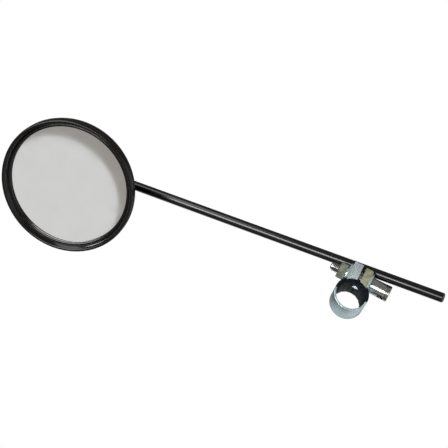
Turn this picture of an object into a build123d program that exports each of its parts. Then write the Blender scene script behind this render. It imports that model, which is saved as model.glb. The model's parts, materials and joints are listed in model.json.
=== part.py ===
"""Handlebar mirror: round convex mirror on a long rod, held by a strap clamp.

Frame, in millimetres: the origin is on the axis of the handlebar, in the middle of the clamp.
+X runs along the handlebar, +Y from the handlebar to the clamp bolt, +Z up towards the mirror.
"""
from math import cos, radians, sin, sqrt
import os

from build123d import *

# Handlebar clamp
BAR_R = 11.1            # a 22.2 mm handlebar
STRAP_W = 21.2
STRAP_T = 1.6
LOOP_R = 12.5           # inside of the strap's loop
LOOP_Y = 1.35           # the loop's centre, so that the bar also bears on the strap's bottom
EAR_Z = 8.6             # inner face of each ear
EAR_TOP = 27.4
BOLT_Y = 20.5
BOLT_R = 4.0
BOLT_HOLE_R = 4.2
INSERT_W = 23.0
LIP_GAP = 0.05
LIP_FROM_Z = 8.75        # the end lips stop short of the jaws
INSERT_END_Y = 1.0
JAW_TOP = 27.9
JAW_BACK = -10.5
UPPER_JAW = (1.0, 8.6, 12.5)     # lower face, upper face, front face
LOWER_JAW = (-8.6, -2.0, 10.5)
JAW_ROUND = 1.6
KEY_R = 2.4
KEY_X = 2.5
KEY_BLADE = (4.0, 2.6)
KEY_TOP = 16.5

# Clamp bolt, washer and nut
BARREL_R = 6.5
BARREL_END = -27.6
COLLAR_R = 6.8
COLLAR_L = 4.6
TOMMY_R = 2.75
TOMMY_Z = -21.6
BOLT_TIP = 25.0
WASHER_R = 7.0
WASHER_T = 1.2
NUT_AF = 13.0
NUT_H = 6.5
THREAD_GAP = 0.05

# Rod and the cradle that turns on top of the jaws
ROD_R = 4.0
ROD_X = -3.2
ROD_Y = 32.0
ROD_LEAN = 16.2         # degrees from +Z towards -X
ROD_LOW = -70.0
ROD_PAST_HEAD = 12.0
CRADLE_FIT = 0.05
CRADLE_R = 6.1
CRADLE_L = 14.0
CRADLE_FLOOR = 28.2
CRADLE_OPEN = (-8.0, 128.0)      # the open side of the wrap, degrees from +X
NECK_R = 5.2
CONE_R = 6.3
CONE_Y = 25.8
POCKET_GAP = 0.15

# Bracket and ball stud at the rod's upper end
HEAD_T = 263.7          # along the rod from the clamp to the bracket
STUD_AZIMUTH = 51.2     # degrees round the rod from +X towards -Y
BALL_H = 22.0           # rod axis to ball centre
BALL_R = 8.0
STUD_R = 3.4
STUD_HEX = (8.0, 11.2, 12.8)     # across flats, start, end
SLEEVE_R = 7.2
SLEEVE_L = 20.0
BOSS_R = 5.8
BOSS_END = 11.2
LUG = (14.0, 11.0, 12.0)         # reach from the rod axis, width, length along the rod
LUG_SLOT = 1.6
PINCH_X = -10.4
PINCH_R = 2.0
PINCH_HEAD_R = 3.6
PINCH_HEAD_H = 2.6
PINCH_NUT = (7.0, 3.0)

# Mirror head, drawn with its own +Z out of the mirror's face and 0 at the glass's edge
HEAD_TILT = 11.5        # degrees between the stud and the mirror's normal
FACE_H = 22.6           # ball centre to the glass's edge plane
GLASS_R = 55.5
GLASS_T = 2.5
CONVEX_R = 800.0
PAD_R = 57.0
PAD_TOP = -2.6
PAD_T = 2.0
FLANGE_R = 57.4
SHELL_T = 2.0
LAND_Z = -18.0          # outer face of the shell's flat middle
LAND_R = 22.0
CUP_BORE_R = 12.2
SEAT_R = 9.45
SEAT_GAP = 0.05
SEAT_FROM = 58.0        # degrees from the stud side
SEAT_TO = 140.0
HOUSING_R = 15.5
HOUSING_FLANGE_R = 21.0
HOUSING_FLANGE_T = 2.5
HOUSING_END = -29.4
SPRING_PAD = (12.0, -20.4, -14.2)
SPRING_R = (6.0, 10.5)
SPRING_T = 0.8
PLATE_R = 20.0
PLATE_Z = (-12.4, -10.9)
SCREW_PCD = 33.0
SCREW_R = 1.45
SCREW_HEAD_R = 2.8
SCREW_HEAD_H = 1.9
BOSS_POST_R = 2.9

ROD_DIR = Vector(-sin(radians(ROD_LEAN)), 0, cos(radians(ROD_LEAN)))
ROD_SIDE = Vector(cos(radians(ROD_LEAN)), 0, sin(radians(ROD_LEAN)))
STUD_DIR = ROD_SIDE * cos(radians(STUD_AZIMUTH)) + Vector(0, -1, 0) * sin(radians(STUD_AZIMUTH))
FACE_DIR = STUD_DIR * cos(radians(HEAD_TILT)) - ROD_DIR * sin(radians(HEAD_TILT))
ROD_FOOT = Vector(ROD_X, ROD_Y, 0)
BRACKET_AT = ROD_FOOT + ROD_DIR * HEAD_T
BALL_AT = BRACKET_AT + STUD_DIR * BALL_H
FACE_AT = BALL_AT + FACE_DIR * FACE_H

# Places: the rod's foot with +Y kept, the bracket with its +X along the stud, and the head
FOOT = Plane(origin=ROD_FOOT, x_dir=ROD_SIDE, z_dir=ROD_DIR)
BRACKET = Plane(origin=BRACKET_AT, x_dir=STUD_DIR, z_dir=ROD_DIR)
HEAD = Plane(origin=FACE_AT, x_dir=ROD_DIR.cross(STUD_DIR), z_dir=FACE_DIR)


def along_x(radius, x0, x1, y, z):
    """A round bar along X."""
    return Pos((x0 + x1) / 2, y, z) * Rot(0, 90, 0) * Cylinder(radius, x1 - x0)


def along_y(radius, y0, y1, x, z):
    """A round bar along Y."""
    return Pos(x, (y0 + y1) / 2, z) * Rot(90, 0, 0) * Cylinder(radius, y1 - y0)


def along_z(radius, z0, z1, x=0.0, y=0.0):
    """A round bar along Z."""
    return Pos(x, y, (z0 + z1) / 2) * Cylinder(radius, z1 - z0)


def block(x0, x1, y0, y1, z0, z1):
    """A box between two corners."""
    return Pos((x0 + x1) / 2, (y0 + y1) / 2, (z0 + z1) / 2) * Box(x1 - x0, y1 - y0, z1 - z0)


def hex_z(across_flats, z0, z1):
    """A hexagonal prism along Z with corners on X."""
    outline = RegularPolygon(across_flats / 2, 6, major_radius=False)
    return Pos(0, 0, z0) * extrude(outline, z1 - z0)


def turned(*outline):
    """A solid turned about Z from (radius, height) points."""
    return revolve(Plane.XZ * make_face(Polyline(*outline, close=True)), Axis.Z)


def band_strap():
    """Steel strap: a loop round the handlebar with two drilled ears."""
    half = STRAP_W / 2
    outer = along_x(LOOP_R + STRAP_T, -half, half, LOOP_Y, 0)
    inner = along_x(LOOP_R, -half - 1, half + 1, LOOP_Y, 0)
    loop = outer - block(-half, half, 0, 30, -EAR_Z, EAR_Z)
    for side in (1, -1):
        z0, z1 = sorted((side * EAR_Z, side * (EAR_Z + STRAP_T)))
        loop += block(-half, half, LOOP_Y, EAR_TOP, z0, z1)
    strap = loop - inner
    strap -= along_z(BOLT_HOLE_R, -15, 15, 0, BOLT_Y)
    neck = LOOP_Y + sqrt((LOOP_R + STRAP_T) ** 2 - (EAR_Z + STRAP_T) ** 2)
    bends = [e for e in strap.edges().filter_by(Axis.X)
             if abs(e.center().Y - neck) < 0.1 and abs(abs(e.center().Z) - EAR_Z - STRAP_T) < 0.1]
    strap = fillet(bends, 2.0)
    corners = [e for e in strap.edges().filter_by(Axis.Z)
               if abs(e.center().Y - EAR_TOP) < 0.1]
    return fillet(corners, 5.0)


def saddle_insert():
    """Plastic crescent that bears on the handlebar, with end lips that lap the strap's edges."""
    half = INSERT_W / 2
    inside = STRAP_W / 2 + LIP_GAP
    lips = along_x(LOOP_R + STRAP_T, -half, half, LOOP_Y, 0)
    lips -= block(-inside, inside, -20, 20, -20, 20)
    lips -= block(-half, half, 0, 20, -LIP_FROM_Z, LIP_FROM_Z)
    crescent = along_x(LOOP_R, -half, half, LOOP_Y, 0) + lips
    crescent -= along_x(BAR_R, -half - 1, half + 1, 0, 0)
    crescent -= block(-half - 1, half + 1, -20, INSERT_END_Y, -20, 20)
    return crescent - along_y(KEY_R, 0, 20, KEY_X, key_z())


def key_z():
    """Middle of the gap between the two jaws."""
    return (UPPER_JAW[0] + LOWER_JAW[1]) / 2


def locating_key():
    """Peg in the saddle whose blade stands in the gap between the jaws."""
    long_x, wide_z = KEY_BLADE
    z = key_z()
    key = along_y(KEY_R, 5, LOOP_Y + LOOP_R - 0.3, KEY_X, z)
    key += block(KEY_X - long_x / 2, KEY_X + long_x / 2, 12, KEY_TOP, z - wide_z / 2, z + wide_z / 2)
    return key - along_x(BAR_R + 0.1, -20, 20, 0, 0)


def cradle_pocket():
    """The dovetailed round pocket for the cradle's foot."""
    depth = JAW_TOP - CONE_Y + POCKET_GAP
    pocket = Cone(CONE_R + POCKET_GAP, NECK_R + POCKET_GAP, depth)
    return Pos(ROD_X, JAW_TOP - depth / 2, 0) * Rot(-90, 0, 0) * pocket


def jaw(z0, z1, front, outer_z):
    """A clamping block between an ear and the middle gap."""
    body = block(JAW_BACK, front, 5, JAW_TOP, z0, z1)
    top_edges = [e for e in body.edges().filter_by(Axis.X)
                 if abs(e.center().Y - JAW_TOP) < 0.1 and abs(e.center().Z - outer_z) < 0.1]
    body = fillet(top_edges, JAW_ROUND)
    body -= along_x(LOOP_R, JAW_BACK - 1, front + 1, LOOP_Y, 0)
    body -= along_z(BOLT_HOLE_R, -15, 15, 0, BOLT_Y)
    return body - cradle_pocket()


def upper_jaw():
    """Sintered block on the mirror's side."""
    z0, z1, front = UPPER_JAW
    return jaw(z0, z1, front, z1)


def lower_jaw():
    """Passivated block on the bolt head's side."""
    z0, z1, front = LOWER_JAW
    return jaw(z0, z1, front, z0)


def clamp_bolt():
    """M8 bolt with a long barrel head, cross drilled for a tommy bar."""
    head_z = -EAR_Z - STRAP_T
    barrel = chamfer(along_z(BARREL_R, BARREL_END, head_z, 0, BOLT_Y).edges(), 0.5)
    collar = along_z(COLLAR_R, BARREL_END, BARREL_END + COLLAR_L, 0, BOLT_Y)
    barrel += chamfer(collar.edges(), 0.6)
    barrel -= along_y(TOMMY_R, BOLT_Y - 10, BOLT_Y + 10, 0, TOMMY_Z)
    shank = along_z(BOLT_R, head_z - 1, BOLT_TIP, 0, BOLT_Y)
    tip = [e for e in shank.edges() if abs(e.center().Z - BOLT_TIP) < 0.1]
    return barrel + fillet(tip, 2.4)


def nut_washer():
    """Flat washer between the upper ear and the nut."""
    z0 = EAR_Z + STRAP_T
    washer = along_z(WASHER_R, z0, z0 + WASHER_T, 0, BOLT_Y)
    return washer - along_z(BOLT_HOLE_R, z0 - 1, z0 + 3, 0, BOLT_Y)


def clamp_nut():
    """M8 hexagon nut with chamfered corners."""
    z0 = EAR_Z + STRAP_T + WASHER_T
    z1 = z0 + NUT_H
    corner_r = NUT_AF / 2 / cos(radians(30))
    crown = chamfer(along_z(corner_r, z0, z1, 0, BOLT_Y).edges(), 0.8)
    nut = Pos(0, BOLT_Y, 0) * Rot(0, 0, 30) * hex_z(NUT_AF, z0, z1) & crown
    return nut - along_z(BOLT_R + THREAD_GAP, z0 - 1, z1 + 1, 0, BOLT_Y)


def rod_cradle():
    """Turning cradle: a C-shaped wrap behind the rod on a round dovetailed foot."""
    wrap = Cylinder(CRADLE_R, CRADLE_L)
    a0, a1 = CRADLE_OPEN
    fan = [(0, 0)]
    for step in range(5):
        a = radians(a0 + (a1 - a0) * step / 4)
        fan.append((30 * cos(a), 30 * sin(a)))
    wrap -= Pos(0, 0, -CRADLE_L) * extrude(make_face(Polyline(*fan, close=True)), 2 * CRADLE_L)
    wrap = FOOT * wrap - block(-40, 40, 0, CRADLE_FLOOR, -40, 40)
    neck = along_y(NECK_R, CONE_Y, ROD_Y - 1, ROD_X, 0)
    neck -= block(-40, 40, CRADLE_FLOOR + 0.9, 60, -40, 40)
    depth = JAW_TOP - CONE_Y
    foot = Pos(ROD_X, CONE_Y + depth / 2, 0) * Rot(-90, 0, 0) * Cone(CONE_R, NECK_R, depth)
    return wrap + neck + foot - FOOT * Cylinder(ROD_R + CRADLE_FIT, 60)


def mirror_rod():
    """Straight steel rod from below the clamp to the mirror's bracket."""
    top = HEAD_T + ROD_PAST_HEAD
    return FOOT * chamfer(along_z(ROD_R, ROD_LOW, top).edges(), 0.7)


def stud_bracket():
    """Split sleeve on the rod with a boss for the stud and two pinch lugs."""
    reach, width, length = LUG
    sleeve = along_z(SLEEVE_R, -SLEEVE_L / 2, SLEEVE_L / 2)
    sleeve += along_x(BOSS_R, 0, BOSS_END, 0, 0)
    lugs = block(-reach, 0, -width / 2, width / 2, -length / 2, length / 2)
    lugs = fillet([e for e in lugs.edges().filter_by(Axis.Y) if e.center().X < -reach + 0.1], 3.0)
    body = sleeve + lugs
    body -= along_z(ROD_R + CRADLE_FIT, -SLEEVE_L, SLEEVE_L)
    body -= block(-reach - 1, 0, -LUG_SLOT / 2, LUG_SLOT / 2, -SLEEVE_L, SLEEVE_L)
    body -= along_y(PINCH_R + 0.1, -20, 20, PINCH_X, 0)
    return BRACKET * (body - along_x(STUD_R, ROD_R + 1.5, BOSS_END + 1, 0, 0))


def ball_stud():
    """Ball on a threaded shank with a hexagon for a spanner."""
    across, x0, x1 = STUD_HEX
    hexagon = Rot(0, 90, 0) * hex_z(across, x0, x1)
    shank = along_x(STUD_R, ROD_R + 1.7, BALL_H, 0, 0)
    return BRACKET * (shank + hexagon + Pos(BALL_H, 0, 0) * Sphere(BALL_R))


def bracket_screw():
    """Pinch screw through the bracket's lugs."""
    face = LUG[1] / 2
    screw = along_y(PINCH_R, -face - 4, face, PINCH_X, 0)
    head = chamfer(along_y(PINCH_HEAD_R, face, face + PINCH_HEAD_H, PINCH_X, 0).edges(), 0.5)
    socket = Pos(PINCH_X, face + PINCH_HEAD_H - 1.4, 0) * Rot(-90, 0, 0) * hex_z(3.0, 0, 2)
    return BRACKET * (screw + head - socket)


def bracket_nut():
    """Nut on the pinch screw."""
    across, height = PINCH_NUT
    face = LUG[1] / 2
    nut = Pos(PINCH_X, -face - height, 0) * Rot(-90, 0, 0) * hex_z(across, 0, height)
    return BRACKET * (nut - along_y(PINCH_R, -20, 0, PINCH_X, 0))


def ball_seat():
    """Nylon liner round the ball, a zone between two spheres."""
    def height(angle):
        return -FACE_H - SEAT_R * cos(radians(angle))
    liner = Pos(0, 0, -FACE_H) * (Sphere(SEAT_R) - Sphere(BALL_R + SEAT_GAP))
    return HEAD * (liner & along_z(SEAT_R + 1, height(SEAT_FROM), height(SEAT_TO)))


def screw_spots(z):
    """The three screw places on the head, at a height."""
    return [Pos(0, 0, z) * Rot(0, 0, 120 * i + 30) * Pos(SCREW_PCD / 2, 0, 0) for i in range(3)]


def socket_housing():
    """Cup behind the shell that holds the ball from the rear."""
    flange_z = LAND_Z - HOUSING_FLANGE_T
    cup = turned((0, LAND_Z), (HOUSING_FLANGE_R, LAND_Z), (HOUSING_FLANGE_R, flange_z),
                 (HOUSING_R, flange_z), (HOUSING_R - 1.5, HOUSING_END), (0, HOUSING_END))
    cup -= along_z(CUP_BORE_R, SPRING_PAD[1] - 0.3, 0)
    cup -= Pos(0, 0, -FACE_H) * Sphere(SEAT_R + SEAT_GAP)
    lip_r = (SEAT_R + SEAT_GAP) * sin(radians(SEAT_FROM))
    lip_z = -FACE_H - (SEAT_R + SEAT_GAP) * cos(radians(SEAT_FROM))
    cup -= turned((0, lip_z + 2), (lip_r, lip_z + 2), (lip_r, lip_z), (lip_r + 3, lip_z - 3), (0, lip_z - 3))
    for spot in screw_spots(LAND_Z):
        cup -= spot * Cylinder(SCREW_R, 12)
    return HEAD * cup


def pressure_pad():
    """Ring that presses the seat from the front."""
    radius, low, high = SPRING_PAD
    pad = along_z(radius, low, high) - Pos(0, 0, -FACE_H) * Sphere(SEAT_R + SEAT_GAP)
    return HEAD * pad


def disc_spring():
    """Coned spring washer behind the plate."""
    inner, outer = SPRING_R
    low = SPRING_PAD[2]
    high = PLATE_Z[0]
    cone = turned((outer, low), (outer, low + SPRING_T), (inner, high), (inner, high - SPRING_T))
    return HEAD * cone


def spring_plate():
    """Round plate that closes the ball joint inside the shell."""
    plate = along_z(PLATE_R, *PLATE_Z) - along_z(4.0, -20, 0)
    for spot in screw_spots(PLATE_Z[0]):
        plate -= spot * Cylinder(SCREW_R + 0.2, 12)
    return HEAD * plate


def retainer_screws():
    """Three pan head screws, one node."""
    screws = []
    for spot in screw_spots(PLATE_Z[1]):
        length = PLATE_Z[1] - LAND_Z + HOUSING_FLANGE_T
        shank = Pos(0, 0, -length / 2) * Cylinder(SCREW_R, length)
        head = Pos(0, 0, SCREW_HEAD_H / 2) * Cylinder(SCREW_HEAD_R, SCREW_HEAD_H)
        slot = Pos(0, 0, SCREW_HEAD_H) * Box(0.8, 8, 1.6)
        screws.append(HEAD * spot * (shank + head - slot))
    return Compound(children=screws)


def back_shell():
    """Dished cover behind the mirror with a flat middle for the ball joint."""
    outer = ThreePointArc((FLANGE_R - 0.8, -7.0), (45.5, -14.0), (LAND_R, LAND_Z))
    inner_z = LAND_Z + SHELL_T
    inner = ThreePointArc((LAND_R, inner_z), (44.6, -12.2), (55.4, -5.4))
    edge = Polyline((55.4, -5.4), (55.4, -4.6), (FLANGE_R, -4.6), (FLANGE_R, -6.2),
                    (FLANGE_R - 0.8, -6.2), (FLANGE_R - 0.8, -7.0))
    middle = Polyline((LAND_R, LAND_Z), (CUP_BORE_R, LAND_Z), (CUP_BORE_R, inner_z), (LAND_R, inner_z))
    shell = revolve(Plane.XZ * make_face(outer + middle + inner + edge), Axis.Z)
    for spot in screw_spots((inner_z + PLATE_Z[0]) / 2):
        shell += spot * Cylinder(BOSS_POST_R, PLATE_Z[0] - inner_z)
    for spot in screw_spots(inner_z):
        shell -= spot * Cylinder(SCREW_R + 0.1, 12)
    return HEAD * shell


def glass_pad():
    """Foam ring between the glass and the shell's edge."""
    pad = along_z(PAD_R, PAD_TOP - PAD_T, PAD_TOP)
    return HEAD * (pad - along_z(PLATE_R + 6, -10, 0))


def mirror_glass():
    """Convex mirror glass, silvered on its back."""
    sag = CONVEX_R - sqrt(CONVEX_R ** 2 - GLASS_R ** 2)
    glass = along_z(GLASS_R, -GLASS_T, sag + 0.5) & Pos(0, 0, sag - CONVEX_R) * Sphere(CONVEX_R)
    return HEAD * glass


def rim_ring():
    """Stepped ring that snaps over the shell and holds the glass."""
    wall_r = FLANGE_R + 0.1
    ring = turned((53.0, 0.25), (53.0, 1.6), (53.7, 2.4), (54.8, 2.6), (55.3, 2.2), (55.8, 2.3),
                  (56.5, 4.2), (57.4, 5.8), (58.5, 6.4), (59.5, 6.2), (60.1, 5.2), (60.2, 3.4),
                  (60.1, 1.0), (60.0, -1.0), (59.3, -3.4), (58.7, -5.2), (58.1, -6.6), (57.6, -7.0),
                  (wall_r - 0.8, -7.0), (wall_r - 0.8, -6.3), (wall_r, -6.3), (wall_r, PAD_TOP),
                  (GLASS_R + 0.1, PAD_TOP), (GLASS_R + 0.1, 0.25))
    return HEAD * ring


PIECES = (band_strap, saddle_insert, locating_key, upper_jaw, lower_jaw, clamp_bolt,
          nut_washer, clamp_nut, rod_cradle, mirror_rod, stud_bracket, ball_stud,
          bracket_screw, bracket_nut, ball_seat, socket_housing, pressure_pad, disc_spring,
          spring_plate, retainer_screws, back_shell, glass_pad, mirror_glass, rim_ring)


def main():
    """Write one STEP file for each piece."""
    os.makedirs("parts", exist_ok=True)
    for piece in PIECES:
        export_step(piece(), f"parts/{piece.__name__}.step")


if __name__ == "__main__":
    main()
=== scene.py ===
import json
from math import atan2, cos, degrees, pi, radians, sin, sqrt

import bpy
from bpy.props import FloatProperty, FloatVectorProperty, IntProperty, PointerProperty
from mathutils import Matrix, Vector


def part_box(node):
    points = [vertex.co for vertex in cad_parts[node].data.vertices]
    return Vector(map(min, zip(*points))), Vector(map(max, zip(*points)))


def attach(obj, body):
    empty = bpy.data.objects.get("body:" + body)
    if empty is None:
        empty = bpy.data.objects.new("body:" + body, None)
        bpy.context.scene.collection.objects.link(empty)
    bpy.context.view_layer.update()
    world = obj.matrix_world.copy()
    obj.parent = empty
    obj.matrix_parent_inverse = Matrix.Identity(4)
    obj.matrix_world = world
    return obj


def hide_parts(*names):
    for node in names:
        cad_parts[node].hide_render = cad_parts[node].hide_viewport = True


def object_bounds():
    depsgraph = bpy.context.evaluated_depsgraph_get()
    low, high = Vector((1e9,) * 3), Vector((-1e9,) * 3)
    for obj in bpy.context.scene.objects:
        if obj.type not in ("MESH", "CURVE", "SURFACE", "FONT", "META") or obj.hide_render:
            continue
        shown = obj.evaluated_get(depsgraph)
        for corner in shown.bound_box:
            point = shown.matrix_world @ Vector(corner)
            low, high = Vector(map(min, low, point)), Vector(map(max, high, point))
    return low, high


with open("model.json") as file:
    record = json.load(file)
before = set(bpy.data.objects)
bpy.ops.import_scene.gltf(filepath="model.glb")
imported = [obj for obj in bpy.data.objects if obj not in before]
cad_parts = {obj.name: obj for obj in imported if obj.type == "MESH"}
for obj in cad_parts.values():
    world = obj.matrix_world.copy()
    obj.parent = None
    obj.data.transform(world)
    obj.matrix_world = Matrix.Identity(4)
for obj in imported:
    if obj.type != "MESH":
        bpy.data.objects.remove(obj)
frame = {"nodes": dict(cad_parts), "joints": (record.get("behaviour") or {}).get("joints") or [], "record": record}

bl_info = {
    "name": "Handlebar mirror",
    "version": (1, 0, 0),
    "blender": (4, 5, 0),
    "location": "3D View > Sidebar > Mirror",
    "description": "Dresses a packed handlebar mirror with its modelled surfaces, finishes and studio",
    "category": "Object",
}

MM = 0.001
NEAR = 0.01             # millimetres within which two places are taken as one
CAD_BOX = [list(corner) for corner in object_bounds()]
RECORD = frame["record"]
BODY_OF = {node: body for body, nodes in RECORD["behaviour"]["bodies"].items() for node in nodes}
JOINT = {joint["name"]: joint for joint in frame["joints"]}


# ---------------------------------------------------------------- places read from the frame

def axis_of(joint):
    """A joint's axis."""
    return Vector(JOINT[joint]["axis"]).normalized()


def frame_at(origin, z_axis, x_hint):
    """The matrix of a local frame with its +Z along z_axis and its +X near x_hint."""
    z = z_axis.normalized()
    x = (x_hint - z * x_hint.dot(z)).normalized()
    y = z.cross(x)
    matrix = Matrix((x, y, z)).transposed().to_4x4()
    matrix.translation = origin
    return matrix


def along(node, origin, axis):
    """The lowest and highest place of a CAD node along an axis, in millimetres from origin."""
    heights = [(v.co - origin).dot(axis) / MM for v in frame["nodes"][node].data.vertices]
    return min(heights), max(heights)


def reach(node, origin, axis):
    """The largest distance of a CAD node from an axis, in millimetres."""
    offsets = [v.co - origin for v in frame["nodes"][node].data.vertices]
    return max((v - axis * v.dot(axis)).length for v in offsets) / MM


Z = Vector((0, 0, 1))
ROD_AXIS = axis_of("rod_slide")
BRACKET_AT = Vector(JOINT["bracket_turn"]["pos_m"])
BALL_AT = Vector(JOINT["mirror_tilt"]["pos_m"])
FACE_AXIS = axis_of("mirror_tilt").cross(axis_of("mirror_pan")).normalized()
GLASS_T = 2.5
FACE_AT = BALL_AT + FACE_AXIS * (along("mirror_glass", BALL_AT, FACE_AXIS)[0] + GLASS_T) * MM
HEAD = frame_at(FACE_AT, FACE_AXIS, axis_of("mirror_tilt"))
ROD = frame_at(BRACKET_AT, ROD_AXIS, BALL_AT - BRACKET_AT)
BOLT_AT = Vector(JOINT["nut_turn"]["pos_m"])
BOLT_AT.z = 0.0
BOLT = Matrix.Translation(BOLT_AT)
BOLT_Y = BOLT_AT.y / MM
BOLT_HOLE_R = 4.2       # of the holes in the strap, jaws and washer
SHANK_R = 3.98
STRAP_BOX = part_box("band_strap")
STRAP_T = 1.6
LOOP_R = STRAP_BOX[1].z / MM - STRAP_T
LOOP_Y = STRAP_BOX[0].y / MM + LOOP_R + STRAP_T
PAST_CLAMP = 30.0       # millimetres, past the clamp on every side
MOUNT = {mount["name"]: mount for mount in RECORD["mounts"]}
BAR_R = MOUNT["handlebar_clamp"]["dims"]["r_mm"]
TOMMY_HOLE_R = MOUNT["tommy_bar_hole"]["dims"]["r_mm"]
TOMMY_HOLE_Z = MOUNT["tommy_bar_hole"]["pos_m"][2] / MM
EAR_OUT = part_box("nut_washer")[0].z / MM
EAR_IN = EAR_OUT - STRAP_T


# ---------------------------------------------------------------- colours and node helpers

def linear(code):
    """A six-digit sRGB hex colour as linear red, green and blue."""
    channels = [int(code[i:i + 2], 16) / 255 for i in (0, 2, 4)]
    return tuple(c / 12.92 if c <= 0.04045 else ((c + 0.055) / 1.055) ** 2.4 for c in channels)


def add(tree, kind, inputs, **settings):
    """Adds a node with its settings; each input is a value or the output socket it is linked to."""
    node = tree.nodes.new(kind)
    for key, value in settings.items():
        setattr(node, key, value)
    for key, value in inputs.items():
        if isinstance(value, bpy.types.NodeSocket):
            tree.links.new(value, node.inputs[key])
        else:
            node.inputs[key].default_value = value
    return node


def new_material(name, **shader_values):
    """A material with a Principled shader; returns it, its tree, the shader and object coordinates."""
    material = bpy.data.materials.new(name)
    material.use_nodes = True
    tree = material.node_tree
    shader = tree.nodes["Principled BSDF"]
    for key, value in shader_values.items():
        shader.inputs[key.replace("_", " ")].default_value = value
    place = tree.nodes.new("ShaderNodeTexCoord").outputs["Object"]
    return material, tree, shader, place


def mottle(tree, place, size_mm, detail=3.0, stretch=(1, 1, 1)):
    """Noise whose blotches are about size_mm across, stretched along the object's axes."""
    scaled = add(tree, "ShaderNodeMapping", {"Vector": place, "Scale": stretch})
    noise = add(tree, "ShaderNodeTexNoise",
                {"Vector": scaled.outputs[0], "Scale": 1 / (size_mm * MM), "Detail": detail})
    return noise.outputs["Fac"]


def spread(tree, value, low, high):
    """A 0.3 to 0.7 noise value spread over another range."""
    node = add(tree, "ShaderNodeMapRange",
               {"Value": value, "From Min": 0.3, "From Max": 0.7, "To Min": low, "To Max": high})
    return node.outputs[0]


def relief(tree, shader, height, depth_mm, strength):
    """Turns a height into bump on a shader."""
    bump = add(tree, "ShaderNodeBump", {"Height": height, "Distance": depth_mm * MM, "Strength": strength})
    tree.links.new(bump.outputs[0], shader.inputs["Normal"])


def two_tone(tree, shader, value, low, high):
    """Mixes two colours by a noise value into a shader's base colour."""
    factor = spread(tree, value, 0.0, 1.0)
    mixed = add(tree, "ShaderNodeMix", {"Factor": factor, "A": (*low, 1), "B": (*high, 1)}, data_type="RGBA")
    tree.links.new(mixed.outputs["Result"], shader.inputs["Base Color"])


# ---------------------------------------------------------------- finishes

def moulded_abs(colour):
    """Injection moulded ABS from a polished tool: deep gloss with faint flow waves and fine dust."""
    material, tree, shader, place = new_material("moulded_gloss_abs", IOR=1.5, Specular_IOR_Level=0.22)
    waves = mottle(tree, place, 9.0, 2.0)
    dust = mottle(tree, place, 0.5, 4.0)
    two_tone(tree, shader, dust, colour, [c * 1.5 + 0.001 for c in colour])
    tree.links.new(spread(tree, dust, 0.16, 0.2), shader.inputs["Roughness"])
    relief(tree, shader, waves, 0.05, 0.1)
    return material


def stove_enamel(colour):
    """Black stove enamel on steel tube: glossy, with an orange peel about 1.5 mm across."""
    material, tree, shader, place = new_material("black_stove_enamel", IOR=1.5, Specular_IOR_Level=0.32)
    peel = mottle(tree, place, 1.5, 1.0)
    bloom = mottle(tree, place, 14.0, 3.0)
    two_tone(tree, shader, bloom, colour, [c * 1.5 + 0.0015 for c in colour])
    tree.links.new(spread(tree, bloom, 0.2, 0.26), shader.inputs["Roughness"])
    relief(tree, shader, peel, 0.02, 0.08)
    return material


def silvered_glass(colour):
    """Convex float glass silvered on its back: a faint haze and wipe marks soften the reflection."""
    material, tree, shader, place = new_material("silvered_convex_glass", Metallic=1.0)
    haze = mottle(tree, place, 18.0, 4.0)
    wipe = mottle(tree, place, 6.0, 3.0, (1.0, 0.25, 0.25))
    two_tone(tree, shader, haze, [c * 0.965 for c in colour], colour)
    tree.links.new(spread(tree, wipe, 0.05, 0.085), shader.inputs["Roughness"])
    return material


def ground_edge():
    """The glass's ground edge: pale green and matt."""
    material, tree, shader, place = new_material("ground_glass_edge", Roughness=0.6, IOR=1.52)
    grit = mottle(tree, place, 0.3, 2.0)
    two_tone(tree, shader, grit, linear("6F8A82"), linear("9DB5AC"))
    relief(tree, shader, grit, 0.03, 0.4)
    return material


def bright_zinc(colour):
    """Bright zinc plate on cold rolled strip: bluish, satin, with rolling marks and pale passivation."""
    material, tree, shader, place = new_material("bright_zinc_plated_strip", Metallic=1.0)
    cloud = mottle(tree, place, 7.0, 4.0)
    rolled = mottle(tree, place, 0.35, 2.0, (1.0, 0.12, 0.12))
    two_tone(tree, shader, cloud, [c * 0.84 for c in colour], colour)
    tree.links.new(spread(tree, cloud, 0.34, 0.5), shader.inputs["Roughness"])
    relief(tree, shader, rolled, 0.02, 0.35)
    return material


def sintered_zinc(colour):
    """Sintered steel block, zinc plated: grains about 0.7 mm across, coarser than real to show."""
    material, tree, shader, place = new_material("sintered_zinc_plated_steel", Metallic=0.85)
    grains = add(tree, "ShaderNodeTexVoronoi", {"Vector": place, "Scale": 1 / (0.7 * MM)})
    pits = mottle(tree, place, 0.9, 3.0)
    two_tone(tree, shader, pits, [c * 0.62 for c in colour], [min(c * 1.25, 1.0) for c in colour])
    tree.links.new(spread(tree, pits, 0.42, 0.6), shader.inputs["Roughness"])
    relief(tree, shader, grains.outputs["Distance"], 0.12, 0.6)
    return material


def yellow_passivate(colour, name):
    """Zinc plate with yellow chromate passivation: cloudy olive tints over a satin metal."""
    material, tree, shader, place = new_material(name, Metallic=0.9)
    cloud = mottle(tree, place, 3.5, 4.0)
    cuts = mottle(tree, place, 0.4, 2.0, (1.0, 1.0, 0.15))
    two_tone(tree, shader, cloud, [c * 0.72 for c in colour], colour)
    tree.links.new(spread(tree, cloud, 0.36, 0.5), shader.inputs["Roughness"])
    relief(tree, shader, cuts, 0.03, 0.3)
    return material


def nickel_plate(colour):
    """Bright nickel on a turned steel part: clear reflections crossed by turning marks 0.3 mm apart."""
    material, tree, shader, place = new_material("bright_nickel_turned_steel", Metallic=1.0)
    rings = mottle(tree, place, 0.3, 2.0, (0.02, 0.02, 1.0))
    stain = mottle(tree, place, 4.0, 4.0)
    two_tone(tree, shader, stain, [c * 0.8 for c in colour], colour)
    tree.links.new(spread(tree, stain, 0.14, 0.22), shader.inputs["Roughness"])
    relief(tree, shader, rings, 0.02, 0.3)
    return material


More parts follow.
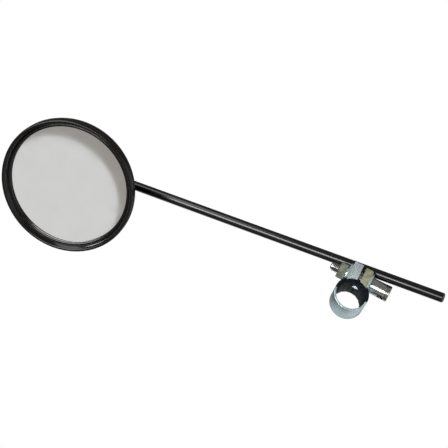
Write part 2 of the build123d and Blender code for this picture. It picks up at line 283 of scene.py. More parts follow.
def moulded_nylon(colour):
    """Moulded nylon from a spark eroded tool: satin black with a fine even grain."""
    material, tree, shader, place = new_material("moulded_black_nylon", IOR=1.5, Specular_IOR_Level=0.08)
    grain = mottle(tree, place, 0.35, 3.0)
    scuff = mottle(tree, place, 5.0, 4.0)
    two_tone(tree, shader, scuff, colour, [c * 1.6 + 0.001 for c in colour])
    tree.links.new(spread(tree, scuff, 0.42, 0.6), shader.inputs["Roughness"])
    relief(tree, shader, grain, 0.05, 0.4)
    return material


def pale_acetal(colour):
    """Moulded acetal: pale grey, waxy, slightly translucent to the eye."""
    material, tree, shader, place = new_material("moulded_pale_acetal", Roughness=0.42, IOR=1.48)
    grain = mottle(tree, place, 0.8, 3.0)
    two_tone(tree, shader, grain, [c * 0.85 for c in colour], colour)
    relief(tree, shader, grain, 0.03, 0.25)
    return material


def cell_foam():
    """Closed-cell foam tape: matt black with cells about 0.6 mm across."""
    material, tree, shader, place = new_material("closed_cell_foam", Roughness=0.9)
    cells = add(tree, "ShaderNodeTexVoronoi", {"Vector": place, "Scale": 1 / (0.6 * MM)})
    two_tone(tree, shader, cells.outputs["Distance"], linear("1B1B1C"), linear("343436"))
    relief(tree, shader, cells.outputs["Distance"], 0.2, 0.7)
    return material


# ---------------------------------------------------------------- modelling helpers

def deselect():
    """Leaves object mode with nothing selected."""
    if bpy.context.mode != "OBJECT":
        bpy.ops.object.mode_set(mode="OBJECT")
    bpy.ops.object.select_all(action="DESELECT")


def take(obj):
    """Selects one object alone and makes it active."""
    deselect()
    obj.select_set(True)
    bpy.context.view_layer.objects.active = obj


def apply_modifier(obj, kind, **settings):
    """Adds a modifier with its settings and applies it."""
    take(obj)
    modifier = obj.modifiers.new(kind.lower(), kind)
    for key, value in settings.items():
        setattr(modifier, key, value)
    bpy.ops.object.modifier_apply(modifier=modifier.name)


def tidy_mesh(obj):
    """Merges doubles and turns the faces outwards."""
    take(obj)
    bpy.ops.object.mode_set(mode="EDIT")
    bpy.ops.mesh.select_all(action="SELECT")
    bpy.ops.mesh.remove_doubles(threshold=0.001 * MM)
    bpy.ops.mesh.delete_loose(use_verts=True, use_edges=True, use_faces=False)
    bpy.ops.mesh.select_all(action="SELECT")
    bpy.ops.mesh.normals_make_consistent(inside=False)
    bpy.ops.object.mode_set(mode="OBJECT")


def outline_object(outline, place, filled):
    """A closed outline drawn from a circle primitive; place turns each pair into a point."""
    deselect()
    fill = "NGON" if filled else "NOTHING"
    bpy.ops.mesh.primitive_circle_add(vertices=len(outline), radius=MM, fill_type=fill)
    obj = bpy.context.object
    for vertex, pair in zip(obj.data.vertices, outline):
        vertex.co = place(*pair)
    return obj


def turned(outline, steps=128):
    """A body turned about Z from a closed outline of (radius, height) in millimetres."""
    obj = outline_object(outline, lambda r, z: Vector((r, 0, z)) * MM, False)
    bpy.ops.object.mode_set(mode="EDIT")
    bpy.ops.mesh.select_all(action="SELECT")
    bpy.ops.mesh.spin(steps=steps, angle=2 * pi, center=(0, 0, 0), axis=(0, 0, 1))
    tidy_mesh(obj)
    return obj


def drawn(outline, x0, x1):
    """A bar along X from a closed outline of (y, z) in millimetres."""
    obj = outline_object(outline, lambda y, z: Vector((x0, y, z)) * MM, True)
    bpy.ops.object.mode_set(mode="EDIT")
    bpy.ops.mesh.select_all(action="SELECT")
    bpy.ops.mesh.extrude_region_move(TRANSFORM_OT_translate={"value": ((x1 - x0) * MM, 0, 0)})
    tidy_mesh(obj)
    return obj


def box(low, high):
    """A block between two corners in millimetres."""
    deselect()
    bpy.ops.mesh.primitive_cube_add(size=1.0)
    obj = bpy.context.object
    for vertex in obj.data.vertices:
        vertex.co = [(b if c > 0 else a) * MM for a, b, c in zip(low, high, vertex.co)]
    return obj


def bar(radius, start, end, radius_end=None, sides=64, turn=0.0):
    """A round, coned or many-sided bar between two points in millimetres, turned about its own axis."""
    start, end = Vector(start), Vector(end)
    deselect()
    bpy.ops.mesh.primitive_cone_add(vertices=sides, radius1=radius * MM,
                                    radius2=(radius_end or radius) * MM, depth=(end - start).length * MM)
    obj = bpy.context.object
    lie = (end - start).to_track_quat("Z", "Y").to_matrix().to_4x4() @ Matrix.Rotation(turn, 4, "Z")
    obj.matrix_world = Matrix.Translation((start + end) / 2 * MM) @ lie
    bpy.ops.object.transform_apply(location=True, rotation=True, scale=True)
    return obj


def hexagon(across, z0, z1):
    """A six-sided bar along Z with corners on X."""
    return bar(across / 2 / cos(radians(30)), (0, 0, z0), (0, 0, z1), sides=6, turn=radians(30))


def bolt_drill():
    """A tool for the bolt's hole through the strap and the jaws."""
    return bar(BOLT_HOLE_R, (0, BOLT_Y, -16), (0, BOLT_Y, 16))


def loop_drill(half):
    """A tool along the handlebar that fills the inside of the strap's loop."""
    return bar(LOOP_R, (-half, LOOP_Y, 0), (half, LOOP_Y, 0), sides=160)


def combine(obj, tool, how="DIFFERENCE"):
    """Cuts, joins or intersects obj with a tool, which is then removed."""
    apply_modifier(obj, "BOOLEAN", operation=how, object=tool, solver="EXACT")
    bpy.data.objects.remove(tool)


def round_edges(obj, width, segments=2, angle=35.0):
    """Rounds every sharp edge."""
    apply_modifier(obj, "BEVEL", width=width * MM, segments=segments, limit_method="ANGLE",
                   angle_limit=radians(angle), use_clamp_overlap=True, harden_normals=False)


def bevel_where(obj, chosen, offset, segments):
    """Bevels in edit mode the edges whose two ends chosen accepts."""
    take(obj)
    bpy.ops.object.mode_set(mode="EDIT")
    bpy.ops.mesh.select_mode(type="EDGE")
    bpy.ops.mesh.select_all(action="DESELECT")
    bpy.ops.object.mode_set(mode="OBJECT")
    points = obj.data.vertices
    for edge in obj.data.edges:
        edge.select = chosen(points[edge.vertices[0]].co / MM, points[edge.vertices[1]].co / MM)
    bpy.ops.object.mode_set(mode="EDIT")
    bpy.ops.mesh.bevel(offset=offset * MM, segments=segments, affect="EDGES")
    bpy.ops.object.mode_set(mode="OBJECT")


def join(objects):
    """Joins objects into the first one."""
    take(objects[0])
    for obj in objects[1:]:
        obj.select_set(True)
    bpy.ops.object.join()
    return bpy.context.object


def cad_copy(node):
    """A merged copy of a CAD node's mesh, with its flat faces joined again."""
    deselect()
    obj = bpy.data.objects.new("copy", frame["nodes"][node].data.copy())
    bpy.context.scene.collection.objects.link(obj)
    obj.data.materials.clear()
    take(obj)
    bpy.ops.object.mode_set(mode="EDIT")
    bpy.ops.mesh.select_all(action="SELECT")
    bpy.ops.mesh.remove_doubles(threshold=0.002 * MM)
    bpy.ops.mesh.dissolve_limited(angle_limit=radians(0.5))
    bpy.ops.object.mode_set(mode="OBJECT")
    return obj


def hand_over(obj, name, node, material, matrix=None, smooth=32.0):
    """Places a finished piece, gives it its material and lets it stand for a CAD node."""
    take(obj)
    if matrix is not None:
        obj.matrix_world = matrix
        bpy.ops.object.transform_apply(location=True, rotation=True, scale=True)
    obj.name = name
    obj.data.name = name
    obj.data.materials.append(material)
    bpy.ops.object.shade_smooth_by_angle(angle=radians(smooth))
    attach(obj, BODY_OF[node])
    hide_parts(node)


def dress(node, material):
    """Gives a CAD node that keeps its own mesh a finish."""
    obj = frame["nodes"][node]
    obj.data.materials.clear()
    obj.data.materials.append(material)


def arc(cx, cy, radius, start, end, count):
    """Points on a circle between two angles in degrees."""
    angles = [radians(start + (end - start) * i / (count - 1)) for i in range(count)]
    return [(cx + radius * cos(a), cy + radius * sin(a)) for a in angles]


def arc_through(first, middle, last, count):
    """Points on the circle through three points."""
    (ax, ay), (bx, by), (cx, cy) = first, middle, last
    d = 2 * (ax * (by - cy) + bx * (cy - ay) + cx * (ay - by))
    a2, b2, c2 = ax * ax + ay * ay, bx * bx + by * by, cx * cx + cy * cy
    ux = (a2 * (by - cy) + b2 * (cy - ay) + c2 * (ay - by)) / d
    uy = (a2 * (cx - bx) + b2 * (ax - cx) + c2 * (bx - ax)) / d
    start = atan2(ay - uy, ax - ux)
    turn = (atan2(cy - uy, cx - ux) - start + pi) % (2 * pi) - pi
    radius = sqrt((ax - ux) ** 2 + (ay - uy) ** 2)
    return [(ux + radius * cos(start + turn * i / (count - 1)),
             uy + radius * sin(start + turn * i / (count - 1))) for i in range(count)]


def thread(major, pitch, z0, z1):
    """A closed length of screw thread along Z, drawn by the Screw modifier and cut flat."""
    minor = major - 0.6 * pitch
    low = z0 - 2 * pitch
    turns = int((z1 - low) / pitch) + 3
    tooth = [(minor, low), (minor, low + 0.12 * pitch), (major, low + 0.5 * pitch),
             (major, low + 0.62 * pitch), (minor, low + pitch)]
    obj = outline_object(tooth, lambda r, z: Vector((r, 0, z)) * MM, False)
    ends = {0, len(tooth) - 1}
    bpy.ops.object.mode_set(mode="EDIT")
    bpy.ops.mesh.select_mode(type="EDGE")
    bpy.ops.mesh.select_all(action="DESELECT")
    bpy.ops.object.mode_set(mode="OBJECT")
    for edge in obj.data.edges:
        edge.select = set(edge.vertices) == ends
    bpy.ops.object.mode_set(mode="EDIT")
    bpy.ops.mesh.delete(type="EDGE")
    bpy.ops.object.mode_set(mode="OBJECT")
    apply_modifier(obj, "SCREW", angle=2 * pi, screw_offset=pitch * MM, iterations=turns,
                   steps=36, render_steps=36, use_merge_vertices=True, merge_threshold=0.001 * MM)
    take(obj)
    bpy.ops.object.mode_set(mode="EDIT")
    for height, outwards in ((z0, -1), (z1, 1)):
        bpy.ops.mesh.select_all(action="SELECT")
        bpy.ops.mesh.bisect(plane_co=(0, 0, height * MM), plane_no=(0, 0, outwards), clear_outer=True,
                            threshold=0.0001 * MM)
    bpy.ops.mesh.select_all(action="SELECT")
    bpy.ops.mesh.remove_doubles(threshold=0.0005 * MM)
    bpy.ops.mesh.select_all(action="SELECT")
    bpy.ops.mesh.fill_holes(sides=0)
    tidy_mesh(obj)
    return obj


# ---------------------------------------------------------------- settings

def colour_property(name, code, description):
    """A colour setting with its default given as an sRGB hex value."""
    return FloatVectorProperty(name=name, description=description, subtype="COLOR", size=3,
                               min=0.0, max=1.0, default=linear(code))


class MirrorHeadSettings(bpy.types.PropertyGroup):
    """Sizes and colours of the mirror's head."""
    shell_colour: colour_property("Shell", "040303", "Colour of the moulded rim and back")
    glass_colour: colour_property("Glass", "ECEAE8", "Tint of the silvered glass")
    convex_radius: FloatProperty(name="Convex radius", description="Radius of the glass's front face",
                                 default=0.8, min=0.2, unit="LENGTH")
    rim_rounding: FloatProperty(name="Rim rounding", description="Radius on the rim's ridges, in millimetres",
                                default=0.32, min=0.05)


class MirrorRodSettings(bpy.types.PropertyGroup):
    """Colours of the rod and of what holds it."""
    enamel_colour: colour_property("Enamel", "030304", "Colour of the stove enamel")


class MirrorClampSettings(bpy.types.PropertyGroup):
    """Sizes and colours of the handlebar clamp."""
    strap_colour: colour_property("Strap", "B4C6CA", "Colour of the zinc plated strap")
    upper_jaw_colour: colour_property("Upper jaw", "A1AAAD", "Colour of the sintered block")
    lower_jaw_colour: colour_property("Lower jaw", "A5A78E", "Colour of the passivated block")
    nut_colour: colour_property("Nut", "8C927F", "Colour of the passivated nut")
    bolt_colour: colour_property("Bolt", "A6A8A6", "Colour of the nickel plated bolt")
    saddle_colour: colour_property("Saddle", "03060B", "Colour of the nylon saddle")
    key_colour: colour_property("Key", "D6E2EC", "Colour of the small key in the saddle")
    thread_pitch: FloatProperty(name="Thread pitch", description="Pitch of the bolt's thread, in millimetres",
                                default=1.25, min=0.5)
    saddle_ribs: IntProperty(name="Saddle ribs", default=7, min=0,
                             description="Grooves moulded along the saddle's bearing face")


class MirrorStudioSettings(bpy.types.PropertyGroup):
    """Camera and lights."""
    camera_at: FloatVectorProperty(name="Camera place", description="Where the camera stands",
                                   subtype="TRANSLATION", default=(0.91773, -0.39364, 0.02594))
    camera_look: FloatVectorProperty(name="Camera direction", description="Which way the camera looks",
                                     subtype="DIRECTION", default=(-0.91164, 0.40072, 0.09131))
    camera_up: FloatVectorProperty(name="Camera up", description="Which way is up in the picture",
                                   subtype="DIRECTION", default=(0.3965, 0.79901, 0.45207))
    camera_lens: FloatProperty(name="Lens", description="Focal length in millimetres",
                               default=98.8, min=20.0)
    room_level: FloatProperty(name="Room", description="Brightness of the room around the object",
                              default=0.36)
    strip_level: FloatProperty(name="Rod strip", description="Brightness of the long strip light",
                               default=19.0)
    key_level: FloatProperty(name="Key", description="Brightness of the upper softbox", default=5.0)
    back_level: FloatProperty(name="Back card", description="Brightness of the card behind", default=0.75)
    card_level: FloatProperty(name="Mirror card", description="Brightness of the round card in the mirror",
                              default=0.44)
    floor_drop: FloatProperty(name="Floor", description="How far the floor lies below the clamp",
                              default=0.6, unit="LENGTH")


SETTINGS = {
    "mirror_head": MirrorHeadSettings,
    "mirror_rod": MirrorRodSettings,
    "mirror_clamp": MirrorClampSettings,
    "mirror_studio": MirrorStudioSettings,
}


# ---------------------------------------------------------------- the head

class MIRROR_OT_rim(bpy.types.Operator):
    """Turns the stepped rim with its two ridges, groove and inner wall"""
    bl_idname = "handlebar_mirror.rim"
    bl_label = "Rim"

    def execute(self, context):
        settings = context.scene.mirror_head
        low, crest = along("rim_ring", FACE_AT, FACE_AXIS)
        wall = 57.5
        lip = [(53.0, 0.25), (53.0, 1.5), (53.4, 2.15), (54.0, 2.45), (54.8, 2.5), (55.3, 2.1)]
        ridge = [(55.6, 2.1), (56.0, 2.8), (56.5, 4.3), (57.0, 5.2), (57.7, crest - 0.3),
                 (58.5, crest - 0.02), (59.2, crest - 0.15), (59.7, crest - 0.6), (60.05, crest - 1.5)]
        side = [(60.15, 3.4), (60.05, 1.0), (59.95, -1.0), (59.3, -3.4), (58.7, -5.2), (58.1, -6.5)]
        inside = [(57.6, low), (wall - 0.8, low), (wall - 0.8, -6.3), (wall, -6.3), (wall, -2.6),
                  (55.6, -2.6), (55.6, 0.25)]
        outline = lip + ridge + side + inside
        rim = turned(outline, 192)
        round_edges(rim, settings.rim_rounding, 3, 12.0)
        hand_over(rim, "stepped_rim", "rim_ring", FINISH["shell"], HEAD, 40.0)
        return {"FINISHED"}


class MIRROR_OT_glass(bpy.types.Operator):
    """Turns the convex glass with its ground edge"""
    bl_idname = "handlebar_mirror.glass"
    bl_label = "Glass"

    def execute(self, context):
        curve = context.scene.mirror_head.convex_radius / MM
        radius = reach("mirror_glass", FACE_AT, FACE_AXIS)
        crown = curve - sqrt(curve ** 2 - radius ** 2)
        rows = [(radius - 0.15) * (1 - i / 16) for i in range(17)]
        front = [(r, crown - curve + sqrt(curve ** 2 - r ** 2)) for r in rows]
        glass = turned([(0, -GLASS_T), (radius - 0.3, -GLASS_T), (radius, 0.3 - GLASS_T), (radius, -0.2)]
                       + front, 192)
        hand_over(glass, "convex_glass", "mirror_glass", FINISH["glass"], HEAD, 30.0)
        glass.data.materials.append(FINISH["edge"])
        for face in glass.data.polygons:
            face.material_index = int(abs(face.normal.dot(FACE_AXIS)) < 0.9)
        return {"FINISHED"}


class MIRROR_OT_back(bpy.types.Operator):
    """Turns the dished back with two moulded steps and a flat middle, and finishes the joint's housing"""
    bl_idname = "handlebar_mirror.back"
    bl_label = "Back"

    def execute(self, context):
        flange = reach("back_shell", FACE_AT, FACE_AXIS)
        land = along("back_shell", FACE_AT, FACE_AXIS)[0]
        wall = 2.0
        side = flange - 0.8
        outer = arc_through((side, -7.0), (45.5, -14.0), (22.0, land), 22)
        inner = arc_through((22.0, land + wall), (44.6, -12.2), (55.4, -5.4), 20)
        steps_after = (5, 13)
        stepped = []
        for i, (r, z) in enumerate(outer):
            stepped.append((r, z))
            if i in steps_after:
                stepped += [(r - 0.25, z + 0.45), (r - 1.15, z + 0.1)]
        outline = [(55.4, -4.6), (flange, -4.6), (flange, -6.2), (side, -6.2)] + stepped
        outline += [(12.2, land), (12.2, land + wall)] + inner
        back = turned(outline, 160)
        round_edges(back, 0.2, 2, 30.0)
        hand_over(back, "dished_back", "back_shell", FINISH["shell"], HEAD, 35.0)
        housing = cad_copy("socket_housing")
        round_edges(housing, 0.4, 2, 40.0)
        hand_over(housing, "ball_housing", "socket_housing", FINISH["nylon"])
        return {"FINISHED"}


class MIRROR_OT_ball_joint(bpy.types.Operator):
    """Turns the ball stud and finishes the split bracket with its pinch screw and nut"""
    bl_idname = "handlebar_mirror.ball_joint"
    bl_label = "Ball joint"

    def execute(self, context):
        stud_axis = (BALL_AT - BRACKET_AT).normalized()
        stud = frame_at(BALL_AT, stud_axis, ROD_AXIS)
        low = along("ball_stud", BALL_AT, stud_axis)[0]
        ball, neck = 8.0, 3.4
        shoulder = -sqrt(ball ** 2 - neck ** 2)
        ball_points = arc(0, 0, ball, degrees(atan2(shoulder, neck)), 90, 40)
        outline = [(0, low), (neck, low), (neck, shoulder - 0.6)] + ball_points[:-1] + [(0, ball)]
        piece = turned(outline, 96)
        across, flats_from, flats_to = 8.0, 11.2, 12.8
        bracket_gap = (BALL_AT - BRACKET_AT).length / MM
        flats = hexagon(across, flats_from - bracket_gap, flats_to - bracket_gap)
        round_edges(flats, 0.2, 2)
        combine(piece, flats, "UNION")
        hand_over(piece, "stud_with_ball", "ball_stud", FINISH["nickel"], stud)
        for node, name, width, finish in (
                ("stud_bracket", "split_bracket", 0.45, "enamel"),
                ("bracket_screw", "pinch_screw", 0.12, "nickel"),
                ("bracket_nut", "pinch_nut", 0.3, "nickel")):
            copy = cad_copy(node)
            round_edges(copy, width, 2, 40.0)
            hand_over(copy, name, node, FINISH[finish])
        return {"FINISHED"}


class MIRROR_OT_inner_pieces(bpy.types.Operator):
    """Gives the pieces hidden inside the head their finishes"""
    bl_idname = "handlebar_mirror.inner_pieces"
    bl_label = "Inner pieces"

    def execute(self, context):
        for node in ("ball_seat", "pressure_pad"):
            dress(node, FINISH["acetal"])
        for node in ("disc_spring", "retainer_screws"):
            dress(node, FINISH["nickel"])
        dress("spring_plate", FINISH["zinc"])
        dress("glass_pad", FINISH["foam"])
        return {"FINISHED"}


# ---------------------------------------------------------------- the rod

class MIRROR_OT_rod(bpy.types.Operator):
    """Turns the rod with its chamfered ends and finishes the cradle that it slides in"""
    bl_idname = "handlebar_mirror.rod"
    bl_label = "Rod"

    def execute(self, context):
        radius = reach("mirror_rod", BRACKET_AT, ROD_AXIS)
        low, high = along("mirror_rod", BRACKET_AT, ROD_AXIS)
        chamfer = 0.7
        outline = [(0, low), (radius - chamfer, low), (radius, low + chamfer),
                   (radius, high - chamfer), (radius - chamfer, high), (0, high)]
        rod = turned(outline, 64)
        round_edges(rod, 0.2, 2)
        hand_over(rod, "enamelled_rod", "mirror_rod", FINISH["enamel"], ROD)
        cradle = cad_copy("rod_cradle")
        round_edges(cradle, 0.25, 2, 40.0)
        hand_over(cradle, "turning_cradle", "rod_cradle", FINISH["enamel"])
        return {"FINISHED"}


# ---------------------------------------------------------------- the clamp

def strap_outline():
    """The strap's section across the handlebar, as (y, z): a loop that bends out into two ears."""
    bend_z = EAR_OUT + 2.0
    outer_bend = 2.0
    outer_r = LOOP_R + STRAP_T
    bend_y = LOOP_Y + sqrt((outer_r + outer_bend) ** 2 - bend_z ** 2)
    ear_top = STRAP_BOX[1].y / MM
    around = degrees(atan2(bend_z, bend_y - LOOP_Y))
    outside = [(ear_top, EAR_OUT)]
    outside += arc(bend_y, bend_z, outer_bend, -90, around - 180, 7)
    outside += arc(LOOP_Y, 0, outer_r, around, 360 - around, 72)
    outside += arc(bend_y, -bend_z, outer_bend, 180 - around, 90, 7)
    outside += [(ear_top, -EAR_OUT)]
    inside = [(ear_top, -EAR_IN)]
    inside += arc(bend_y, -bend_z, outer_bend + STRAP_T, 90, 180 - around, 9)
    inside += arc(LOOP_Y, 0, LOOP_R, 360 - around, around, 72)
    inside += arc(bend_y, bend_z, outer_bend + STRAP_T, around - 180, -90, 9)
    inside += [(ear_top, EAR_IN)]
    return outside + inside


class MIRROR_OT_strap(bpy.types.Operator):
    """Draws the bent strap, rounds its ears and drills them"""
    bl_idname = "handlebar_mirror.strap"
    bl_label = "Strap"

    def execute(self, context):
        half = STRAP_BOX[1].x / MM
        strap = drawn(strap_outline(), -half, half)
        ear_top = STRAP_BOX[1].y / MM
        ear_round = 5.0

        def ear_corner(a, b):
            at_side = abs(abs(a.x) - half) < NEAR and abs(a.x - b.x) < NEAR
            return at_side and a.y > ear_top - NEAR and b.y > ear_top - NEAR

        bevel_where(strap, ear_corner, ear_round, 8)
        combine(strap, bolt_drill())
        round_edges(strap, 0.22, 2, 45.0)
        hand_over(strap, "bent_strap", "band_strap", FINISH["zinc"])
        return {"FINISHED"}


class MIRROR_OT_saddle(bpy.types.Operator):
    """Draws the saddle with its end lips and ribbed bearing face, and finishes the key in it"""
    bl_idname = "handlebar_mirror.saddle"
    bl_label = "Saddle"

    def execute(self, context):
        ribs = context.scene.mirror_clamp.saddle_ribs
        low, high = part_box("saddle_insert")
        half = high.x / MM
        end_y = low.y / MM
        inner = degrees(atan2(sqrt(BAR_R ** 2 - end_y ** 2), end_y))
        lip_r = LOOP_R + STRAP_T
        outer = degrees(atan2(sqrt(lip_r ** 2 - (end_y - LOOP_Y) ** 2), end_y - LOOP_Y))
        outline = arc(LOOP_Y, 0, lip_r, outer, -outer, 61)
        grooves = [(i + 1) * 2 * inner / (ribs + 1) - inner for i in range(ribs)]
        groove_half, groove_depth = 2.2, 0.5
        for y, z in arc(0, 0, BAR_R, -inner, inner, 141):
            angle = degrees(atan2(z, y))
            share = max([0.0] + [1 - abs(angle - groove) / groove_half for groove in grooves])
            grow = 1 + groove_depth * share / BAR_R
            outline.append((y * grow, z * grow))
        saddle = drawn(outline, -half, half)
        lip_gap, jaw_half = 0.05, 8.75
        strap_seat = STRAP_BOX[1].x / MM + lip_gap
        tube = bar(lip_r + 2, (-strap_seat, LOOP_Y, 0), (strap_seat, LOOP_Y, 0), sides=160)
        combine(tube, loop_drill(PAST_CLAMP))
        combine(saddle, tube)
        jaw_room = box((-PAST_CLAMP, 0, -jaw_half), (PAST_CLAMP, PAST_CLAMP, jaw_half))
        combine(jaw_room, loop_drill(PAST_CLAMP + 10))
        combine(saddle, jaw_room)
        key_low, key_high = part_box("locating_key")
        key_x = (key_low.x + key_high.x) / 2 / MM
        key_z = (key_low.z + key_high.z) / 2 / MM
        key_hole_r = 2.41
        combine(saddle, bar(key_hole_r, (key_x, 6, key_z), (key_x, 18, key_z)))
        round_edges(saddle, 0.25, 2, 50.0)
        hand_over(saddle, "ribbed_saddle", "saddle_insert", FINISH["nylon"])
        key = cad_copy("locating_key")
        round_edges(key, 0.3, 2, 40.0)
        hand_over(key, "saddle_key", "locating_key", FINISH["key"])
        return {"FINISHED"}


class MIRROR_OT_jaws(bpy.types.Operator):
    """Cuts the two clamping blocks, with the round of the saddle, the bolt hole and the cradle's pocket"""
    bl_idname = "handlebar_mirror.jaws"
    bl_label = "Jaws"

    def execute(self, context):
        swivel = Vector(JOINT["cradle_swivel"]["pos_m"]) / MM
        foot_r, neck_r = 6.45, 5.35
        pocket_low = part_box("rod_cradle")[0].y / MM - 0.15
        for node, name, finish in (("upper_jaw", "grey_jaw", "sintered"),
                                   ("lower_jaw", "olive_jaw", "passivate")):
            low, high = [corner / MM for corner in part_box(node)]
            outer_z = high.z if low.z > 0 else low.z
            jaw = box((low.x, 5.0, low.z), tuple(high))

            def top_corner(a, b):
                top = a.y > high.y - NEAR and b.y > high.y - NEAR
                return top and abs(a.z - outer_z) < NEAR and abs(b.z - outer_z) < NEAR

            bevel_where(jaw, top_corner, 1.6, 6)
            combine(jaw, loop_drill(PAST_CLAMP))
            combine(jaw, bolt_drill())
            combine(jaw, bar(foot_r, (swivel.x, pocket_low, 0), (swivel.x, high.y, 0), neck_r))
            combine(jaw, bar(neck_r, (swivel.x, high.y - NEAR, 0), (swivel.x, high.y + 2, 0)))
            round_edges(jaw, 0.45, 3, 40.0)
            hand_over(jaw, name, node, FINISH[finish])
        return {"FINISHED"}


class MIRROR_OT_bolt(bpy.types.Operator):
    """Turns the bolt's barrel head with its grooved collar, drills it and cuts the thread"""
    bl_idname = "handlebar_mirror.bolt"
    bl_label = "Bolt"

    def execute(self, context):
        pitch = context.scene.mirror_clamp.thread_pitch
        low, high = [corner.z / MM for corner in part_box("clamp_bolt")]
        barrel, collar, collar_top = 6.5, 6.8, 23.0
        grooved = []
        for i in range(4):
            z = low + 0.9 + i * 0.8
            grooved += [(collar, z), (collar, z + 0.4), (collar - 0.3, z + 0.5), (collar - 0.3, z + 0.7)]
        dimple = 0.8
        outline = [(0, low + dimple), (3.0, low + dimple), (3.6, low), (collar - 0.6, low),
                   (collar, low + 0.5)]
        outline += grooved
        outline += [(collar, -collar_top - 0.2), (barrel, -collar_top), (barrel, -EAR_OUT - 0.7),
                    (barrel - 0.6, -EAR_OUT), (0, -EAR_OUT)]
        head = turned(outline, 96)
        combine(head, bar(TOMMY_HOLE_R, (0, -12, TOMMY_HOLE_Z), (0, 12, TOMMY_HOLE_Z)))
        round_edges(head, 0.12, 2, 40.0)
        plain_top = EAR_OUT - 3.0
        thread_top = high - 2.0
        shank = turned([(0, -EAR_OUT), (SHANK_R, -EAR_OUT), (SHANK_R, plain_top), (0, plain_top)], 64)
        screw = thread(SHANK_R, pitch, plain_top, thread_top)
        tip = turned([(0, thread_top), (3.2, thread_top), (3.1, high - 1.2), (2.5, high - 0.4),
                      (1.6, high), (0, high)], 64)
        bolt = join([head, shank, screw, tip])
        hand_over(bolt, "barrel_bolt", "clamp_bolt", FINISH["nickel"], BOLT, 35.0)
        return {"FINISHED"}


class MIRROR_OT_nut(bpy.types.Operator):
    """Cuts the hexagon nut with its crowned ends and turns its washer"""
    bl_idname = "handlebar_mirror.nut"
    bl_label = "Nut"

    def execute(self, context):
        low, high = [corner.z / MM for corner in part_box("clamp_nut")]
        corner = reach("clamp_nut", BOLT_AT, Z)
        flat = corner * cos(radians(30))
        across, nut_bore, crown_rise = 13.0, 4.05, 0.85
        outside = across / 2 / cos(radians(30)) + 0.05
        nut = hexagon(across, low, high)
        crown = turned([(0, low - NEAR), (flat - 0.1, low - NEAR), (outside, low + crown_rise),
                        (outside, high - crown_rise), (flat - 0.1, high + NEAR), (0, high + NEAR)], 96)
        combine(nut, crown, "INTERSECT")
        combine(nut, bar(nut_bore, (0, 0, low - 1), (0, 0, high + 1)))
        combine(nut, bar(4.7, (0, 0, high - 0.6), (0, 0, high + 0.1), 5.1))
        round_edges(nut, 0.1, 2, 35.0)
        hand_over(nut, "hexagon_nut", "clamp_nut", FINISH["nut"],
                  BOLT @ Matrix.Rotation(radians(30), 4, "Z"))
        low, high = [corner.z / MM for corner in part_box("nut_washer")]
        outer = reach("nut_washer", BOLT_AT, Z)
        washer = turned([(BOLT_HOLE_R, low), (outer - 0.15, low), (outer, low + 0.2), (outer, high - 0.3),
                         (outer - 0.3, high), (BOLT_HOLE_R + 0.2, high), (BOLT_HOLE_R, high - 0.2)], 96)
        round_edges(washer, 0.1, 2)
        hand_over(washer, "flat_washer", "nut_washer", FINISH["nickel"], BOLT)
        return {"FINISHED"}


# ---------------------------------------------------------------- finishes and studio

FINISH = {}


class MIRROR_OT_finishes(bpy.types.Operator):
    """Makes every material from the colours in the settings"""
    bl_idname = "handlebar_mirror.finishes"
    bl_label = "Finishes"

    def execute(self, context):
        scene = context.scene
        head, rod, clamp = scene.mirror_head, scene.mirror_rod, scene.mirror_clamp
        FINISH["shell"] = moulded_abs(head.shell_colour[:])
        FINISH["glass"] = silvered_glass(head.glass_colour[:])
        FINISH["edge"] = ground_edge()
        FINISH["enamel"] = stove_enamel(rod.enamel_colour[:])
        FINISH["zinc"] = bright_zinc(clamp.strap_colour[:])
        FINISH["sintered"] = sintered_zinc(clamp.upper_jaw_colour[:])
        FINISH["passivate"] = yellow_passivate(clamp.lower_jaw_colour[:], "yellow_passivated_zinc_block")
        FINISH["nut"] = yellow_passivate(clamp.nut_colour[:], "dull_passivated_zinc_nut")
        FINISH["nickel"] = nickel_plate(clamp.bolt_colour[:])
        FINISH["nylon"] = moulded_nylon(clamp.saddle_colour[:])
        FINISH["acetal"] = pale_acetal(linear("C9CCCB"))
        FINISH["key"] = pale_acetal(clamp.key_colour[:])
        FINISH["foam"] = cell_foam()
        return {"FINISHED"}


def softbox(name, place, target, size, long_side, level, colour, shape="RECTANGLE"):
    """An area light of a given brightness at a place, facing a target, its first side near long_side."""
    data = bpy.data.lights.new(name, "AREA")
    data.shape = shape
    data.size = size[0]
    area = pi / 4 * size[0] ** 2
    if shape == "RECTANGLE":
        data.size_y = size[1]
        area = size[0] * size[1]
    data.energy = level * area * pi
    data.color = colour
    light = bpy.data.objects.new(name, data)
    bpy.context.scene.collection.objects.link(light)
    light.matrix_world = frame_at(Vector(place), Vector(place) - Vector(target), Vector(long_side))
    light.visible_camera = False


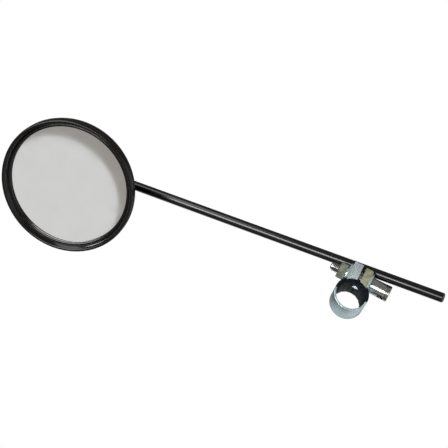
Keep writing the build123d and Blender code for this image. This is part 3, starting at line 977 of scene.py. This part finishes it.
class MIRROR_OT_studio(bpy.types.Operator):
    """Sets the pale floor, the room, the soft lights and the camera"""
    bl_idname = "handlebar_mirror.studio"
    bl_label = "Studio"

    def execute(self, context):
        scene = context.scene
        settings = scene.mirror_studio
        scene.view_settings.view_transform = "Standard"
        self.make_floor(settings)
        self.make_room(scene, settings)
        at = Vector(settings.camera_at)
        back = -Vector(settings.camera_look).normalized()
        right = Vector(settings.camera_up).cross(back).normalized()
        up = back.cross(right)
        middle = (Vector(CAD_BOX[0]) + Vector(CAD_BOX[1])) / 2
        strip_at = middle + (back + ROD_AXIS * 0.66 - up * 0.04).normalized() * 1.1
        softbox("rod_strip", strip_at, middle, (1.3, 0.42), ROD_AXIS, settings.strip_level, (1.0, 0.98, 1.0))
        softbox("key_softbox", middle + right * -0.55 + up * 0.9 + back * 0.5, middle, (0.6, 0.6), right,
                settings.key_level, (1.0, 1.0, 1.0))
        back_card_at, mirror_card_at = (-1.29, -0.35, 0.0), (0.222, -1.5, 0.555)
        softbox("back_card", back_card_at, (0, 0, 0), (1.2, 1.3), Z, settings.back_level,
                (0.93, 0.98, 1.0))
        softbox("mirror_card", mirror_card_at, FACE_AT, (0.626, 0.626), Z, settings.card_level,
                (0.88, 0.945, 1.0), "DISK")
        data = bpy.data.cameras.new("product_camera")
        data.lens = settings.camera_lens
        data.sensor_width = 36.0
        data.clip_start, data.clip_end = 0.01, 30.0
        camera = bpy.data.objects.new("product_camera", data)
        scene.collection.objects.link(camera)
        camera.matrix_world = Matrix.Translation(at) @ Matrix((right, up, back)).transposed().to_4x4()
        scene.camera = camera
        return {"FINISHED"}

    def make_floor(self, settings):
        """A round painted board well below the object."""
        deselect()
        bpy.ops.mesh.primitive_circle_add(vertices=96, radius=1.6, fill_type="NGON",
                                          location=(0, 0, -settings.floor_drop))
        floor = bpy.context.object
        floor.name = "painted_floor"
        material, tree, shader, place = new_material("pale_emulsion_board", Roughness=0.85)
        paint = mottle(tree, place, 60.0, 3.0)
        two_tone(tree, shader, paint, linear("EFEFED"), linear("F6F6F4"))
        floor.data.materials.append(material)

    def make_room(self, scene, settings):
        """White to the camera; to every reflection a warm grey room that darkens behind the object."""
        world = bpy.data.worlds.new("studio_room")
        world.use_nodes = True
        scene.world = world
        tree = world.node_tree
        seen = tree.nodes["Background"]
        seen.inputs["Color"].default_value = (1.0, 1.0, 1.0, 1.0)
        direction = tree.nodes.new("ShaderNodeTexCoord").outputs["Generated"]
        across = add(tree, "ShaderNodeSeparateXYZ", {0: direction}).outputs["X"]
        level = add(tree, "ShaderNodeMapRange", {
            "Value": across, "From Min": -0.35, "From Max": 0.05,
            "To Min": settings.room_level * 0.3, "To Max": settings.room_level})
        room = add(tree, "ShaderNodeBackground",
                   {"Color": (1.0, 0.975, 0.92, 1.0), "Strength": level.outputs[0]})
        path = tree.nodes.new("ShaderNodeLightPath")
        mix = add(tree, "ShaderNodeMixShader", {0: path.outputs["Is Camera Ray"]})
        tree.links.new(room.outputs[0], mix.inputs[1])
        tree.links.new(seen.outputs[0], mix.inputs[2])
        tree.links.new(mix.outputs[0], tree.nodes["World Output"].inputs["Surface"])


class MIRROR_PT_panel(bpy.types.Panel):
    """The mirror's settings and steps"""
    bl_idname = "MIRROR_PT_panel"
    bl_label = "Handlebar mirror"
    bl_space_type = "VIEW_3D"
    bl_region_type = "UI"
    bl_category = "Mirror"

    def draw(self, context):
        for key in SETTINGS:
            settings = getattr(context.scene, key)
            column = self.layout.box().column()
            for name in settings.bl_rna.properties.keys():
                if name not in ("rna_type", "name"):
                    column.prop(settings, name)
        for operator in STEPS:
            self.layout.operator(operator.bl_idname)


STEPS = (MIRROR_OT_finishes, MIRROR_OT_rim, MIRROR_OT_glass, MIRROR_OT_back, MIRROR_OT_ball_joint,
         MIRROR_OT_inner_pieces, MIRROR_OT_rod, MIRROR_OT_strap, MIRROR_OT_saddle, MIRROR_OT_jaws,
         MIRROR_OT_bolt, MIRROR_OT_nut, MIRROR_OT_studio)


def register():
    for cls in (*SETTINGS.values(), *STEPS, MIRROR_PT_panel):
        bpy.utils.register_class(cls)
    for key, cls in SETTINGS.items():
        setattr(bpy.types.Scene, key, PointerProperty(type=cls))


def unregister():
    for key in SETTINGS:
        delattr(bpy.types.Scene, key)
    for cls in reversed((*SETTINGS.values(), *STEPS, MIRROR_PT_panel)):
        bpy.utils.unregister_class(cls)


def main():
    """Registers the add-on and makes every piece and the stage."""
    register()
    for step in STEPS:
        module, name = step.bl_idname.split(".")
        getattr(getattr(bpy.ops, module), name)()


if __name__ == "__main__":
    main()
